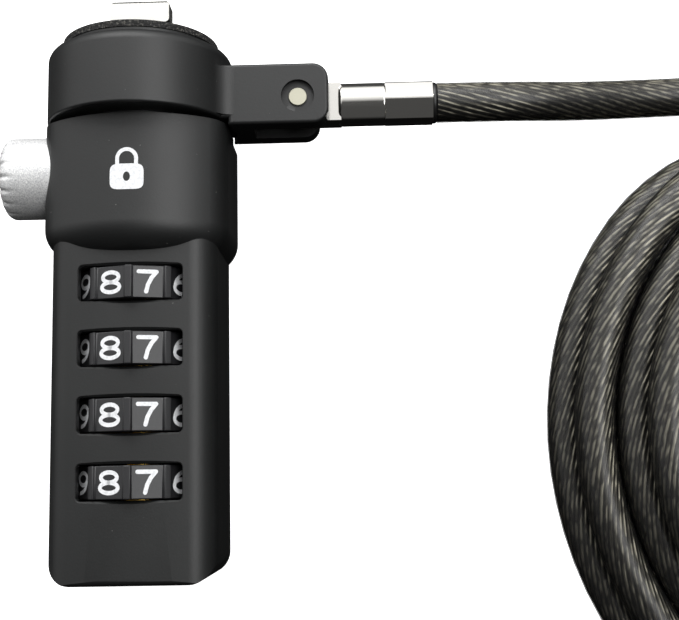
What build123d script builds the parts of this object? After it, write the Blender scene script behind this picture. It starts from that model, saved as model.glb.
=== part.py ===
"""Laptop cable lock: a four-dial lock with a turning T-bar, a side button and a swivelling cable.

Millimetres. Y is the lock's long axis, with the T-bar at +Y. The lock lies on its back, so +Z is the side
with the dial windows and the floor is at Z = FLOOR. The origin is the centre of the anti-scratch pad's face,
which seats on the wall of a computer round its security slot.
"""
from build123d import *
import os
from math import cos, pi, radians, sin, tan

# ---- driving dimensions -------------------------------------------------------------------------------
FLOOR = -10.05                     # back of the lock and lowest line of the round collar
RUNNING = 0.06                     # radial clearance of the turning and sliding fits

# T-bar and nose
T_WIDTH, T_DEPTH, T_LOW, T_TOP = 6.5, 2.6, 2.5, 5.0
NECK_R = 1.3
SPINDLE_R = 2.0
PAD_R, PAD_HOLE_R, PAD_THICK = 8.5, 4.25, 0.8
CAP_R, CAP_THICK = 8.4, 1.2
GUARD_R, POST_TOP = 4.0, 1.7
NOSE_BASE = -(PAD_THICK + CAP_THICK)

# collar with its two ears
COLLAR_R, COLLAR_TOP, COLLAR_BOTTOM = 10.05, -1.3, -9.45
BEARING_R = 7.2                    # the housing's neck, on which the collar swivels
EAR_TOP, EAR_BOTTOM = -3.55, -10.22
EAR_END_FRONT, EAR_END_REAR = 20.8, 19.6
EAR_OUT, EAR_GAP = 3.85, 1.65      # half of the thickness over both ears, and half of the gap
EAR_GAP_START = 12.6
RIVET_X, RIVET_Y, RIVET_R = 17.5, -7.2, 1.0
EAR_RECESS_R, EAR_RECESS_DEEP = 1.78, 0.6
EAR_BLEND_R = 2.4                  # hollow between the barrel and the ears' outer faces

# housing
HEAD_TOP, HEAD_FOOT = -9.85, -24.2
SHOULDER_R = 3.1                   # the head's lower edge rolls over into the body
HEAD_HALF, HEAD_FRONT, HEAD_SIDE_TOP = 9.85, 7.8, 3.6
BODY_HALF, BODY_FRONT, BODY_SIDE_TOP = 8.75, 5.7, 5.2
BODY_END = -58.2
BODY_CORNER_R = 3.0
WEB_TOP, WEB_BOTTOM = -21.3, -24.0
CAVITY_TOP, CAVITY_FRONT, CAVITY_STEP, CAVITY_HALF = -11.0, 4.2, -1.5, 4.2
CAVITY_LEFT, CAVITY_RIGHT = -7.6, 8.4
CHAMBER_BACK = -8.55               # inner face of the rear cover
COVER_HALF, COVER_TOP, COVER_BOTTOM = 7.4, -11.6, -54.4

# dials
DIALS = 4
DIAL_FIRST_Y, DIAL_PITCH = -27.4, 6.82
DIAL_HIGH, WINDOW_HIGH, WINDOW_HALF = 3.4, 3.73, 5.4
DIAL_FACES = 10
DIAL_R, RIDGE_R, RIDGE_WIDE = 6.55, 6.75, 0.8
DIAL_BORE_R = 4.2
CHAMBER_R = 6.95
CODE_BORE_R, GATE_R, GATE_HALF = 2.4, 3.4, 0.65

# locking bar in its slotted sleeve
SLEEVE_R, SLEEVE_BORE_R = 2.34, 1.72
SLEEVE_TOP, SLEEVE_BOTTOM = -21.6, -56.0
BAR_R, BAR_TOP, BAR_BOTTOM = 1.65, -18.4, -50.5
FIN_R, FIN_HALF, FIN_HIGH = 3.15, 0.45, 1.2
FIN_ABOVE_RING = 0.3
CORE_BORE_R = 3.4

# button, slide and pinion
BUTTON_Y, BUTTON_R = -14.75, 4.45
BUTTON_OUT, BUTTON_IN = -14.6, -7.4
BUTTON_TRAVEL = 4.0
PINION_TEETH = 12
PINION_PITCH_R = BUTTON_TRAVEL / (pi / 2)          # the travel turns the T-bar a quarter turn
TOOTH_PITCH = 2 * pi * PINION_PITCH_R / PINION_TEETH
TOOTH_OUT, TOOTH_IN = 0.34, 0.47
TOOTH_HALF = 0.2                   # half thickness at the pitch line, thin enough to run free
TOOTH_FLARE = 0.30                 # slope of a tooth's flanks
PINION_TOP, PINION_BOTTOM = CAVITY_TOP - 0.05, -16.3
PINION_HUB_BOTTOM = -13.3
STUB_R, STUB_END = 1.3, -17.3
SLIDE_TOP, SLIDE_BOTTOM = -13.4, -16.5
SLIDE_BACK, SLIDE_END = -5.6, 2.4
TAB_DEEP, TAB_LOW, TAB_HIGH = 1.2, -4.3, -2.95     # the slide's tab in the button's socket
SPRING_WIRE_R = 0.22
RAMP_FRONT, RAMP_BACK = -3.1, -5.4
RAMP_Y = -17.0                     # ramp surface on the lock's axis at rest
RAMP_SLOPE = 0.5                   # bar travel over button travel

# lower end
PLUG_R, PLUG_TOP = 4.4, -54.6
SOCKET_BOTTOM = -56.05
RESET_R = 1.2

# cable
CABLE_R = 2.2
TERMINAL_R, TERMINAL_START, CRIMP_START, CRIMP_END = 2.35, 21.8, 27.0, 32.1
TONGUE_HALF_THICK, TONGUE_HALF_HIGH = 1.5, 2.1
CRIMP_FLATS = 4.4
BOOT_END = 32.6
COIL_CENTRE = (78.3, -43.5)
COIL_OUT = (34.0, 38.5)            # outer half widths along X and Y
COIL_BAND, COIL_TOP = 21.0, 2.0    # width of the wound band, and its top
LOOP_Z = COIL_TOP + 2.75
LOOP_X, SLEEVE_Y0, SLEEVE_Y1, SLEEVE_HALF = 98.0, -37.0, -48.0, 4.9
EYE_R, EYE_FAR_Y = 9.5, -74.5

# screws: (x, y) of the rear cover's, (x, z) of the nose cap's
COVER_SCREWS = [(x, y) for x in (-5.7, 5.7) for y in (-22.7, -52.8)]
CAP_SCREWS = [(5.4 * cos(radians(a)), 5.4 * sin(radians(a))) for a in (30, 150, 270)]
SCREW_R, SCREW_HEAD_R = 0.8, 1.4


# ---- small helpers ------------------------------------------------------------------------------------
def rod_y(radius, y_high, y_low, x=0.0, z=0.0):
    """A round bar along Y."""
    return Pos(x, (y_high + y_low) / 2, z) * Rot(90, 0, 0) * Cylinder(radius, y_high - y_low)


def rod_x(radius, x_low, x_high, y=0.0, z=0.0):
    """A round bar along X."""
    return Pos((x_low + x_high) / 2, y, z) * Rot(0, 90, 0) * Cylinder(radius, x_high - x_low)


def rod_z(radius, z_low, z_high, x=0.0, y=0.0):
    """A round bar along Z."""
    return Pos(x, y, (z_low + z_high) / 2) * Cylinder(radius, z_high - z_low)


def block(x_low, x_high, y_low, y_high, z_low, z_high):
    """A box from its six faces."""
    centre = Pos((x_low + x_high) / 2, (y_low + y_high) / 2, (z_low + z_high) / 2)
    return centre * Box(x_high - x_low, y_high - y_low, z_high - z_low)


def across(face, y_high, y_low):
    """A face drawn in X and Z, carried from y_high down to y_low."""
    return extrude(Plane.XZ.offset(-y_high) * face, amount=y_high - y_low)


def dial_y(index):
    return DIAL_FIRST_Y - index * DIAL_PITCH


# ---- housing ------------------------------------------------------------------------------------------
def body_face(half, side_top, front, side_round, back_round):
    """Cross-section of the housing: flat back, upright sides, arched front."""
    left = Line((-half, FLOOR), (-half, side_top))
    arch = ThreePointArc((-half, side_top), (0, front), (half, side_top))
    right = Line((half, side_top), (half, FLOOR))
    back = Line((half, FLOOR), (-half, FLOOR))
    face = make_face([left, arch, right, back])
    face = fillet(face.vertices().sort_by(Axis.Y)[-2:], side_round)
    return fillet(face.vertices().sort_by(Axis.Y)[:2], back_round)


def housing_outside():
    head_face = body_face(HEAD_HALF, HEAD_SIDE_TOP, HEAD_FRONT, 4.2, 3.2)
    lower_face = body_face(BODY_HALF, BODY_SIDE_TOP, BODY_FRONT, 3.0, 2.6)
    head = across(head_face, HEAD_TOP, HEAD_FOOT)
    head = fillet(head.faces().sort_by(Axis.Y)[0].edges(), SHOULDER_R)
    lower = across(lower_face, HEAD_FOOT + SHOULDER_R + 0.5, BODY_END)
    outline = Pos(0, BODY_END / 2, 0) * RectangleRounded(2 * BODY_HALF, -BODY_END, BODY_CORNER_R)
    lower &= extrude(Pos(0, 0, FLOOR - 1) * outline, amount=20)
    depth = BODY_FRONT - FLOOR
    profile = Plane.YZ * Pos(BODY_END / 2, FLOOR + depth / 2) * RectangleRounded(-BODY_END, depth, 1.0)
    lower &= extrude(profile, amount=20, both=True)
    outside = head + lower
    # relief that lets the ears of the collar pass over the head's back corners
    relief = rod_y(16, HEAD_TOP + 0.1, EAR_BOTTOM - 0.35)
    relief -= rod_y(COLLAR_R + 0.25, HEAD_TOP + 1, EAR_BOTTOM - 1)
    return outside - relief


def make_housing():
    part = housing_outside()
    part += rod_y(BEARING_R - 0.1, NOSE_BASE, HEAD_TOP - 0.5)
    part -= rod_y(SPINDLE_R + RUNNING, NOSE_BASE + 1, CAVITY_TOP - 1)
    # mechanism cavity in the head, open to the back, and the button's bore
    part -= block(CAVITY_LEFT, CAVITY_RIGHT, WEB_TOP, CAVITY_TOP, CHAMBER_BACK, CAVITY_STEP)
    part -= block(-CAVITY_HALF, CAVITY_HALF, WEB_TOP, CAVITY_TOP, CHAMBER_BACK, CAVITY_FRONT)
    part -= rod_x(BUTTON_R + 0.08, -13, -3.0, BUTTON_Y)
    # core bore for the sleeve, the fins and the lower plug
    part -= rod_y(SLEEVE_R + 0.01, WEB_TOP + 0.1, WEB_BOTTOM - 0.1)
    part -= rod_y(CORE_BORE_R, WEB_BOTTOM, BODY_END - 1)
    part -= rod_y(PLUG_R, PLUG_TOP, BODY_END - 1)
    window = RectangleRounded(2 * WINDOW_HALF, WINDOW_HIGH, 0.45)
    wide = RectangleRounded(2 * WINDOW_HALF + 1.0, WINDOW_HIGH + 1.0, 0.95)
    rim = loft([Pos(0, 0, BODY_FRONT - 0.3) * window, Pos(0, 0, BODY_FRONT + 0.2) * wide])
    for index in range(DIALS):
        y = dial_y(index)
        high, low = y + WINDOW_HIGH / 2, y - WINDOW_HIGH / 2
        part -= rod_y(CHAMBER_R, high, low)
        part -= block(-CHAMBER_R, CHAMBER_R, low, high, CHAMBER_BACK, 0)
        part -= extrude(Pos(0, y, 2.5) * window, amount=6)
        part -= Pos(0, y, 0) * rim
    # channel for the detent spring, and the rear cover's seat
    part -= block(0.2, 4.0, COVER_BOTTOM + 1.0, WEB_BOTTOM - 0.6, CHAMBER_BACK, -6.9)
    part -= block(-COVER_HALF, COVER_HALF, COVER_BOTTOM, COVER_TOP, FLOOR - 1, CHAMBER_BACK)
    for x, y in COVER_SCREWS:
        part -= rod_z(SCREW_R, CHAMBER_BACK - 0.1, -5.5, x, y)
    for x, z in CAP_SCREWS:
        part -= rod_y(SCREW_R, NOSE_BASE + 1, -6.6, x, z)
    return part


def make_rear_cover():
    half, gap = COVER_HALF - 0.05, 0.05
    plate = block(-half, half, COVER_BOTTOM + gap, COVER_TOP - gap, FLOOR, CHAMBER_BACK)
    # rail that carries the slide from behind
    plate += block(-6.0, 7.2, SLIDE_BOTTOM + 0.3, SLIDE_TOP - 0.3, CHAMBER_BACK, SLIDE_BACK - RUNNING)
    for x, y in COVER_SCREWS:
        plate -= rod_z(SCREW_R, FLOOR - 1, CHAMBER_BACK + 1, x, y)
        plate -= rod_z(SCREW_HEAD_R, FLOOR - 1, FLOOR + 0.8, x, y)
    return plate


def make_cover_screws():
    screws = []
    for x, y in COVER_SCREWS:
        screw = rod_z(SCREW_R, FLOOR + 0.8, -5.7, x, y) + rod_z(SCREW_HEAD_R, FLOOR + 0.1, FLOOR + 0.8, x, y)
        for turn in (0, 90):
            screw -= Pos(x, y, FLOOR + 0.3) * Rot(0, 0, turn) * Box(1.6, 0.35, 0.5)
        screws.append(screw)
    return Compound(children=screws)


def make_nose_cap():
    cap = rod_y(CAP_R, -PAD_THICK, NOSE_BASE) - rod_y(GUARD_R + 0.02, 0, NOSE_BASE - 1)
    for x, z in CAP_SCREWS:
        cap -= rod_y(SCREW_R, 0, NOSE_BASE - 1, x, z)
        cap -= rod_y(SCREW_HEAD_R, 0, -PAD_THICK - 0.7, x, z)
    return cap


def make_cap_screws():
    screws = []
    for x, z in CAP_SCREWS:
        screw = rod_y(SCREW_R, -PAD_THICK - 0.7, -6.5, x, z)
        screw += rod_y(SCREW_HEAD_R, -PAD_THICK - 0.05, -PAD_THICK - 0.7, x, z)
        screw -= Pos(x, -PAD_THICK, z) * Box(1.6, 0.7, 0.35)
        screws.append(screw)
    return Compound(children=screws)


def make_guard_plate():
    """Plate with two posts that fill the slot beside the T-bar's neck."""
    plate = rod_y(GUARD_R, -0.6, NOSE_BASE)
    for z_low, z_high in ((1.55, 3.4), (-3.4, -1.55)):
        plate += block(-1.35, 1.35, -0.7, POST_TOP, z_low, z_high)
    plate -= rod_y(NECK_R + RUNNING, POST_TOP + 1, NOSE_BASE - 1)
    return plate & rod_y(3.95, POST_TOP + 1, NOSE_BASE - 1)


def make_pad():
    ring = rod_y(PAD_R, 0, -PAD_THICK + 0.02)
    ring = fillet(ring.edges().filter_by(GeomType.CIRCLE).sort_by(Axis.Y)[-1:], 0.2)
    return ring - rod_y(PAD_HOLE_R, 1, -PAD_THICK - 1)


# ---- T-bar, pinion and clip ---------------------------------------------------------------------------
def make_tbar():
    head = block(-T_WIDTH / 2, T_WIDTH / 2, T_LOW, T_TOP, -T_DEPTH / 2, T_DEPTH / 2)
    head = fillet(head.edges().filter_by(Axis.Z).sort_by(Axis.Y)[:2], 0.45)
    head = chamfer(head.faces().sort_by(Axis.Y)[-1].edges(), 0.3)
    part = head + rod_y(NECK_R, T_LOW + 0.3, NOSE_BASE - 0.6)
    part += rod_y(SPINDLE_R, NOSE_BASE - 0.3, CAVITY_TOP)
    part += rod_y(STUB_R, CAVITY_TOP + 0.1, STUB_END)
    groove = rod_y(STUB_R + 0.5, PINION_BOTTOM - 0.05, PINION_BOTTOM - 0.45)
    groove -= rod_y(STUB_R - 0.3, PINION_BOTTOM + 1, PINION_BOTTOM - 1)
    return part - groove


def tooth_face(root, tip):
    """Outline of one tooth across X, from its root to its tip along Z."""
    wide, narrow = TOOTH_HALF + TOOTH_FLARE * TOOTH_IN, TOOTH_HALF - TOOTH_FLARE * TOOTH_OUT
    return make_face(Polyline((-wide, root), (-narrow, tip), (narrow, tip), (wide, root), close=True))


def make_drive_pinion():
    root = PINION_PITCH_R - TOOTH_IN
    tip = PINION_PITCH_R + TOOTH_OUT
    part = rod_y(3.0, PINION_TOP, PINION_HUB_BOTTOM) + rod_y(root, PINION_HUB_BOTTOM + 0.1, PINION_BOTTOM)
    solid_tooth = across(tooth_face(root - 0.15, tip), PINION_HUB_BOTTOM + 0.1, PINION_BOTTOM)
    for index in range(PINION_TEETH):
        part += Rot(0, index * 360 / PINION_TEETH, 0) * solid_tooth
    return part - rod_y(STUB_R, PINION_TOP + 1, PINION_BOTTOM - 1)


def make_spindle_clip():
    ring = rod_y(2.4, PINION_BOTTOM - 0.1, PINION_BOTTOM - 0.4)
    ring -= rod_y(STUB_R - 0.3, PINION_BOTTOM + 1, PINION_BOTTOM - 1)
    return ring - block(-0.6, 0.6, PINION_BOTTOM - 1, PINION_BOTTOM, 0.5, 3)


# ---- collar, rivet and terminal -----------------------------------------------------------------------
def ear(z_low, z_high, end):
    corner = 1.7
    high = EAR_TOP - EAR_BOTTOM
    plate = Pos(end - 10, (EAR_TOP + EAR_BOTTOM) / 2, 0) * RectangleRounded(20, high, corner)
    return extrude(Pos(0, 0, z_low) * plate, amount=z_high - z_low)


def ear_blend():
    """Fills the corner between barrel and front ear up to a hollow arc that touches both."""
    out_z = EAR_OUT + EAR_BLEND_R
    reach = COLLAR_R + EAR_BLEND_R
    out_x = (reach ** 2 - out_z ** 2) ** 0.5
    on_barrel = (out_x * COLLAR_R / reach, out_z * COLLAR_R / reach)
    on_ear = (out_x, EAR_OUT)
    toward = ((on_barrel[0] + on_ear[0]) / 2 - out_x, (on_barrel[1] + on_ear[1]) / 2 - out_z)
    size = (toward[0] ** 2 + toward[1] ** 2) ** 0.5
    deepest = (out_x + toward[0] / size * EAR_BLEND_R, out_z + toward[1] / size * EAR_BLEND_R)
    inside = (COLLAR_R - 1.5, EAR_OUT - 1.0)
    face = make_face([ThreePointArc(on_barrel, deepest, on_ear), Line(on_ear, (out_x, EAR_OUT - 1.0)),
                      Line((out_x, EAR_OUT - 1.0), inside), Line(inside, on_barrel)])
    return across(face, EAR_TOP - 0.3, COLLAR_BOTTOM + 0.3)


def make_collar():
    barrel = rod_y(COLLAR_R, COLLAR_TOP, COLLAR_BOTTOM)
    barrel = fillet(barrel.edges().filter_by(GeomType.CIRCLE).sort_by(Axis.Y)[-1:], 1.35)
    barrel = fillet(barrel.edges().filter_by(GeomType.CIRCLE).sort_by(Axis.Y)[:1], 0.3)
    ears = ear(-EAR_OUT, 0, EAR_END_REAR) + ear(0, EAR_OUT, EAR_END_FRONT)
    ears -= block(EAR_GAP_START, 25, -20, 0, -EAR_GAP, EAR_GAP)
    # below the barrel the ears stand clear of the housing's head
    ears -= rod_y(COLLAR_R + 0.55, COLLAR_BOTTOM, EAR_BOTTOM - 1)
    front = ears.faces().filter_by(Axis.Z).sort_by(Axis.Z)[-1]
    ears = fillet(front.edges(), 0.35)
    ears -= rod_z(RIVET_R, -EAR_OUT - 1, EAR_OUT + 1, RIVET_X, RIVET_Y)
    seat = EAR_OUT - EAR_RECESS_DEEP
    ears -= rod_z(EAR_RECESS_R, seat, seat + 2, RIVET_X, RIVET_Y)
    ears -= rod_z(EAR_RECESS_R, -seat - 2, -seat, RIVET_X, RIVET_Y)
    blend = ear_blend()
    part = barrel + ears + blend + mirror(blend, Plane.XY)
    part -= rod_y(BEARING_R, 1, COLLAR_BOTTOM - 1)
    # seat for the nose cap, which keeps the collar on the neck
    return part - rod_y(CAP_R + 0.1, 1, NOSE_BASE - 0.1)


def make_rivet():
    reach = EAR_OUT - EAR_RECESS_DEEP
    pin = rod_z(RIVET_R, -reach, reach, RIVET_X, RIVET_Y)
    heads = rod_z(RIVET_R, reach, reach + 0.2, RIVET_X, RIVET_Y)
    heads += rod_z(RIVET_R, -reach - 0.2, -reach, RIVET_X, RIVET_Y)
    return pin + heads


def make_cable_terminal():
    tongue = block(RIVET_X, TERMINAL_START + 0.3, RIVET_Y - TONGUE_HALF_HIGH, RIVET_Y + TONGUE_HALF_HIGH,
                   -TONGUE_HALF_THICK, TONGUE_HALF_THICK)
    tongue += rod_z(TONGUE_HALF_HIGH, -TONGUE_HALF_THICK, TONGUE_HALF_THICK, RIVET_X, RIVET_Y)
    barrel = rod_x(TERMINAL_R, TERMINAL_START, CRIMP_START, RIVET_Y)
    barrel = fillet(barrel.edges().filter_by(GeomType.CIRCLE).sort_by(Axis.X)[:1], 0.5)
    barrel = fillet(barrel.edges().filter_by(GeomType.CIRCLE).sort_by(Axis.X)[-1:], 0.25)
    hexagon = RegularPolygon(CRIMP_FLATS / 2, 6, major_radius=False)
    crimp = extrude(Plane.YZ.offset(CRIMP_START - 0.1) * Pos(RIVET_Y, 0) * Rot(0, 0, 30) * hexagon,
                    amount=CRIMP_END - CRIMP_START + 0.1)
    crimp &= rod_x(CRIMP_FLATS / 2 + 0.2, CRIMP_START - 1, CRIMP_END + 1, RIVET_Y)
    part = tongue + barrel + crimp
    return part - rod_z(RIVET_R + RUNNING, -5, 5, RIVET_X, RIVET_Y)


def make_terminal_boot():
    ring = rod_x(CABLE_R + 0.05, CRIMP_END, BOOT_END, RIVET_Y)
    return chamfer(ring.edges().filter_by(GeomType.CIRCLE).sort_by(Axis.X)[-1:], 0.2)


# ---- dials and code rings -----------------------------------------------------------------------------
def make_dial(index):
    """Ten flat faces with a raised rib at each corner, one of them at the front centre."""
    y = dial_y(index)
    high, low = y + DIAL_HIGH / 2, y - DIAL_HIGH / 2
    step = 360 / DIAL_FACES
    wheel = Rot(0, 0, 90) * RegularPolygon(DIAL_R, DIAL_FACES)
    rib = Pos(0, (DIAL_R + RIDGE_R) / 2 - 0.2) * Rectangle(RIDGE_WIDE, RIDGE_R - DIAL_R + 0.6)
    for turn in range(DIAL_FACES):
        wheel += Rot(0, 0, turn * step) * rib
    part = across(wheel & Circle(RIDGE_R), high, low)
    return part - rod_y(DIAL_BORE_R, high + 1, low - 1)


def make_code_ring(index):
    """Ring inside a dial, with two opposed gates that let the locking bar's fins in."""
    y = dial_y(index)
    high, low = y + DIAL_HIGH / 2, y - DIAL_HIGH / 2
    ring = rod_y(DIAL_BORE_R, high, low) - rod_y(CODE_BORE_R, high + 1, low - 1)
    gates = block(-GATE_HALF, GATE_HALF, low - 1, high + 1, -GATE_R, GATE_R)
    return ring - gates


def make_code_sleeve():
    sleeve = rod_y(SLEEVE_R, SLEEVE_TOP, SLEEVE_BOTTOM)
    sleeve -= rod_y(SLEEVE_BORE_R, SLEEVE_TOP + 1, SLEEVE_BOTTOM - 1)
    slot_low = dial_y(DIALS - 1) - 1.0
    return sleeve - block(-FIN_HALF - 0.1, FIN_HALF + 0.1, slot_low, WEB_BOTTOM, -3, 3)


def make_detent_spring():
    """Leaf behind the dials, with one bump beside each."""
    x, thick, tip = 2.1, 0.3, -6.64
    base = CHAMBER_BACK + thick - 0.05
    leaf = block(x - 1.5, x + 1.5, COVER_BOTTOM + 1.3, WEB_BOTTOM - 1.0, CHAMBER_BACK + 0.02, base + 0.05)
    for index in range(DIALS):
        y = dial_y(index)
        over = [(y - 1.5, base), (y - 0.25, tip), (y + 0.25, tip), (y + 1.5, base)]
        under = [(y + 1.1, base), (y + 0.1, tip - thick), (y - 0.1, tip - thick), (y - 1.1, base)]
        bump = make_face(Polyline(*over, *under, close=True))
        leaf += extrude(Plane.YZ.offset(x - 0.45) * bump, amount=0.9)
    return leaf


# ---- locking bar --------------------------------------------------------------------------------------
def make_locking_bar():
    part = rod_y(BAR_R, BAR_TOP, BAR_BOTTOM)
    for index in range(DIALS):
        low = dial_y(index) + DIAL_HIGH / 2 + FIN_ABOVE_RING
        part += block(-FIN_HALF, FIN_HALF, low, low + FIN_HIGH, -FIN_R, FIN_R)
    # arm that reaches back to the slide's ramp, its top face cut to the ramp's slope
    half, foot = 1.0, -19.2
    part += block(-half, half, foot, BAR_TOP, RAMP_BACK + 0.1, 0)
    top = RAMP_Y - 0.06
    corners = [(-half, foot), (half, foot), (half, top + RAMP_SLOPE * half), (-half, top - RAMP_SLOPE * half)]
    shoe = make_face(Polyline(*corners, close=True))
    return part + extrude(Pos(0, 0, RAMP_BACK + 0.1) * shoe, amount=RAMP_FRONT - RAMP_BACK - 0.2)


# ---- button and slide ---------------------------------------------------------------------------------
def make_button():
    part = rod_x(BUTTON_R, BUTTON_OUT, BUTTON_IN, BUTTON_Y)
    part = fillet(part.edges().filter_by(GeomType.CIRCLE).sort_by(Axis.X)[:1], 1.0)
    # socket of the slide's tab, which holds the button in the housing
    low, high = SLIDE_BOTTOM + 0.5, SLIDE_TOP - 0.5
    return part - block(BUTTON_IN - TAB_DEEP, BUTTON_IN + 1, low, high, TAB_LOW, TAB_HIGH + 0.05)


def make_button_slide():
    """Bar with a rack for the pinion on its front and a ramp for the locking bar on its lower side."""
    pitch_line = -PINION_PITCH_R
    tooth_root, tooth_tip = pitch_line - TOOTH_IN, pitch_line + TOOTH_OUT
    part = block(BUTTON_IN, SLIDE_END, SLIDE_BOTTOM, SLIDE_TOP, SLIDE_BACK, tooth_root)
    part += block(BUTTON_IN - TAB_DEEP, BUTTON_IN, SLIDE_BOTTOM + 0.5, SLIDE_TOP - 0.5, TAB_LOW, TAB_HIGH)
    solid_tooth = across(tooth_face(tooth_root - 0.05, tooth_tip), SLIDE_TOP, SLIDE_BOTTOM + 0.1)
    for index in range(-4, 2):
        part += Pos((index + 0.5) * TOOTH_PITCH, 0, 0) * solid_tooth
    ramp_left = -BUTTON_TRAVEL - 1.6
    ramp_right = (SLIDE_BOTTOM - RAMP_Y) / RAMP_SLOPE
    ramp = make_face(Polyline(
        (ramp_left, SLIDE_BOTTOM + 0.1), (ramp_left, RAMP_Y + RAMP_SLOPE * ramp_left),
        (ramp_right + 0.2, SLIDE_BOTTOM + 0.1), close=True))
    return part + extrude(Pos(0, 0, RAMP_BACK) * ramp, amount=RAMP_FRONT - RAMP_BACK)


def coil_spring(radius, wire, length, turns):
    """Helical spring standing on the XY plane."""
    path = Helix(pitch=length / turns, height=length, radius=radius)
    section = (path ^ 0) * Circle(wire)
    return sweep(section, path=path)


def make_button_spring():
    room = CAVITY_RIGHT - SLIDE_END
    place = Pos(SLIDE_END + 0.25, (SLIDE_TOP + SLIDE_BOTTOM) / 2, -4.3) * Rot(0, 90, 0)
    return place * coil_spring(0.95, SPRING_WIRE_R, room - 0.5, 5)


def make_bar_spring():
    room = BAR_BOTTOM - SOCKET_BOTTOM
    place = Pos(0, BAR_BOTTOM - 0.25, 0) * Rot(90, 0, 0)
    return place * coil_spring(1.35, SPRING_WIRE_R, room - 0.5, 4)


# ---- lower end ----------------------------------------------------------------------------------------
def make_end_plug():
    plug = rod_y(PLUG_R, PLUG_TOP, BODY_END + 0.1)
    plug -= rod_y(SLEEVE_R + 0.01, PLUG_TOP + 1, SOCKET_BOTTOM)
    return plug - rod_y(RESET_R + RUNNING, PLUG_TOP + 1, BODY_END - 1)


def make_reset_screw():
    screw = rod_y(RESET_R, SOCKET_BOTTOM - 0.15, BODY_END + 0.2)
    return screw - Pos(0, BODY_END + 0.3, 0) * Box(2 * RESET_R + 1, 1.0, 0.5)


# ---- cable --------------------------------------------------------------------------------------------
LEAD_POINTS = [
    (BOOT_END, RIVET_Y, 0.0), (40.5, RIVET_Y, 0.0), (48.5, -6.5, -2.9), (57.0, -5.4, -5.9),
    (65.5, -4.9, -6.8), (74.0, -6.4, -6.9), (82.0, -9.5, -6.9)]
TAIL_POINTS = [
    (73.0, -17.4, -0.8), (80.0, -16.6, 1.2), (86.6, -17.3, 3.2), (92.4, -20.2, 4.4), (96.6, -25.4, LOOP_Z),
    (LOOP_X, -31.6, LOOP_Z), (LOOP_X, SLEEVE_Y0, LOOP_Z)]


def cable_tube(points, name):
    """A tube along straight runs joined by tangent arcs; each arc is as large as its two runs allow."""
    corners = [Vector(*p) for p in points]
    radii = []
    for before, here, after in zip(corners, corners[1:], corners[2:]):
        run = min((here - before).length, (after - here).length)
        turn = radians((here - before).get_angle(after - here))
        radii.append(0.45 * run / tan(turn / 2))
    print(name, "radii", [round(r, 1) for r in radii])
    path = FilletPolyline(*points, radius=radii)
    start = Plane(origin=points[0], z_dir=corners[1] - corners[0])
    tube = sweep(start * Circle(CABLE_R), path=path)
    print(name, "length", round(path.length, 1))
    return tube


def make_cable_coil():
    """The wound cable as one closed solid: an oval ring lying on the floor."""
    out_x, out_y = COIL_OUT
    bottom = FLOOR + 0.02
    outer = Pos(*COIL_CENTRE, bottom) * Ellipse(out_x, out_y, rotation=0)
    inner = Pos(*COIL_CENTRE, bottom) * Ellipse(out_x - COIL_BAND, out_y - COIL_BAND, rotation=0)
    ring = extrude(outer - inner, amount=COIL_TOP - bottom)
    return chamfer(ring.faces().sort_by(Axis.Z)[-1].edges(), 3.0)


def make_loop_sleeve():
    """Pressed oval sleeve that holds the two legs of the eye."""
    body = block(LOOP_X - SLEEVE_HALF, LOOP_X + SLEEVE_HALF, SLEEVE_Y1, SLEEVE_Y0, LOOP_Z - 2.7, LOOP_Z + 2.7)
    return fillet(body.edges().filter_by(Axis.Y), 2.4)


def make_cable_loop():
    """Closed eye of cable beyond its sleeve."""
    legs = CABLE_R + 0.05
    points = [
        (LOOP_X - legs, SLEEVE_Y1), (LOOP_X - legs, SLEEVE_Y1 - 5.0), (LOOP_X - EYE_R, SLEEVE_Y1 - 15.0),
        (LOOP_X - EYE_R, EYE_FAR_Y), (LOOP_X + EYE_R, EYE_FAR_Y), (LOOP_X + EYE_R, SLEEVE_Y1 - 15.0),
        (LOOP_X + legs, SLEEVE_Y1 - 5.0), (LOOP_X + legs, SLEEVE_Y1)]
    radii = [7.0, 12.0, EYE_R - 0.05, EYE_R - 0.05, 12.0, 7.0]
    path = FilletPolyline(*[(x, y, LOOP_Z) for x, y in points], radius=radii)
    start = Plane(origin=path @ 0, z_dir=path % 0)
    return sweep(start * Circle(CABLE_R), path=path)


# ---- the whole lock -----------------------------------------------------------------------------------
def make_parts():
    coil = make_cable_coil()
    parts = {
        "housing": make_housing(),
        "rear_cover": make_rear_cover(),
        "cover_screws": make_cover_screws(),
        "nose_cap": make_nose_cap(),
        "cap_screws": make_cap_screws(),
        "guard_plate": make_guard_plate(),
        "pad": make_pad(),
        "tbar": make_tbar(),
        "drive_pinion": make_drive_pinion(),
        "spindle_clip": make_spindle_clip(),
        "collar": make_collar(),
        "rivet": make_rivet(),
        "button": make_button(),
        "button_slide": make_button_slide(),
        "button_spring": make_button_spring(),
        "locking_bar": make_locking_bar(),
        "bar_spring": make_bar_spring(),
        "code_sleeve": make_code_sleeve(),
        "detent_spring": make_detent_spring(),
        "end_plug": make_end_plug(),
        "reset_screw": make_reset_screw(),
        "cable_terminal": make_cable_terminal(),
        "terminal_boot": make_terminal_boot(),
        "cable_lead": cable_tube(LEAD_POINTS, "lead") - coil,
        "cable_coil": coil,
        "cable_tail": cable_tube(TAIL_POINTS, "tail") - coil,
        "loop_sleeve": make_loop_sleeve(),
        "cable_loop": make_cable_loop(),
    }
    for index in range(DIALS):
        parts[f"dial_{index + 1}"] = make_dial(index)
        parts[f"code_ring_{index + 1}"] = make_code_ring(index)
    return parts


def main():
    os.makedirs("parts", exist_ok=True)
    for name, shape in make_parts().items():
        export_step(shape, f"parts/{name}.step")


main()
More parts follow.
